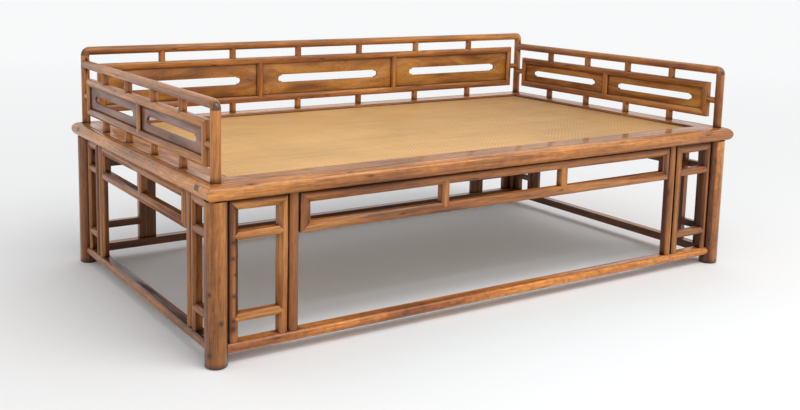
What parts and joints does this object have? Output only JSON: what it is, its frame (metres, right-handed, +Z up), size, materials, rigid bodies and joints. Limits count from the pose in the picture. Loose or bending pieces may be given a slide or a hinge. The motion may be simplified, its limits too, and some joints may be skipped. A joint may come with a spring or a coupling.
{
  "type": "luohan daybed",
  "caption": "Long low couch bed with a woven cane seat, open frames and stretchers between round legs, and railings on three sides.",
  "frame": {"origin": "on the floor, under the middle of the seat", "axes": "+X along the seat to the right-hand end as seen from the open front, +Y from the open front to the back railing, +Z up"},
  "size_m": [2.08, 1.18, 0.775],
  "materials": {
    "hardwood": "satin, waxed and worn",
    "figured_wood": "satin, waxed",
    "cane": "woven, low sheen",
    "palm_fibre": "matt"
  },
  "bodies": {
    "bed_base": {"apron_posts_back": "hardwood", "apron_posts_front": "hardwood", "apron_posts_left": "hardwood", "apron_posts_right": "hardwood", "band_back": "hardwood", "band_front": "hardwood", "band_left": "hardwood", "band_right": "hardwood", "cane_mat": "cane", "cross_braces": "hardwood", "lattice_back_left": "hardwood", "lattice_back_right": "hardwood", "lattice_front_left": "hardwood", "lattice_front_right": "hardwood", "lattice_left_back": "hardwood", "lattice_left_front": "hardwood", "lattice_right_back": "hardwood", "lattice_right_front": "hardwood", "leg_back_left": "hardwood", "leg_back_right": "hardwood", "leg_front_left": "hardwood", "leg_front_right": "hardwood", "mat_edge_strips": "hardwood", "palm_webbing": "palm_fibre", "seat_rail_back": "hardwood", "seat_rail_front": "hardwood", "seat_rail_left": "hardwood", "seat_rail_right": "hardwood", "stretcher_back": "hardwood", "stretcher_front": "hardwood", "stretcher_left": "hardwood", "stretcher_right": "hardwood"},
    "back_railing": {"back_frame_lower_rail": "hardwood", "back_frame_stiles": "hardwood", "back_frame_upper_rail": "hardwood", "back_lower_short_posts": "hardwood", "back_muntins": "hardwood", "back_panel_1": "figured_wood", "back_panel_2": "figured_wood", "back_panel_3": "figured_wood", "back_post_left": "hardwood", "back_post_right": "hardwood", "back_struts": "hardwood", "back_top_rail": "hardwood", "back_upper_short_posts": "hardwood"},
    "left_railing": {"left_frame_rails": "hardwood", "left_frame_uprights": "hardwood", "left_front_post": "hardwood", "left_panels": "figured_wood", "left_short_posts": "hardwood", "left_struts": "hardwood", "left_top_rail": "hardwood"},
    "right_railing": {"right_frame_rails": "hardwood", "right_frame_uprights": "hardwood", "right_front_post": "hardwood", "right_panels": "figured_wood", "right_short_posts": "hardwood", "right_struts": "hardwood", "right_top_rail": "hardwood"}
  },
  "joints": [
    {"name": "back_railing_lift", "type": "slide", "parent": "bed_base", "child": "back_railing", "axis": [0, 0, 1], "range_m": [0, 0.05]},
    {"name": "left_railing_lift", "type": "slide", "parent": "back_railing", "child": "left_railing", "axis": [0, 0, 1], "range_m": [0, 0.015]},
    {"name": "right_railing_lift", "type": "slide", "parent": "back_railing", "child": "right_railing", "axis": [0, 0, 1], "range_m": [0, 0.015]}
  ]
}
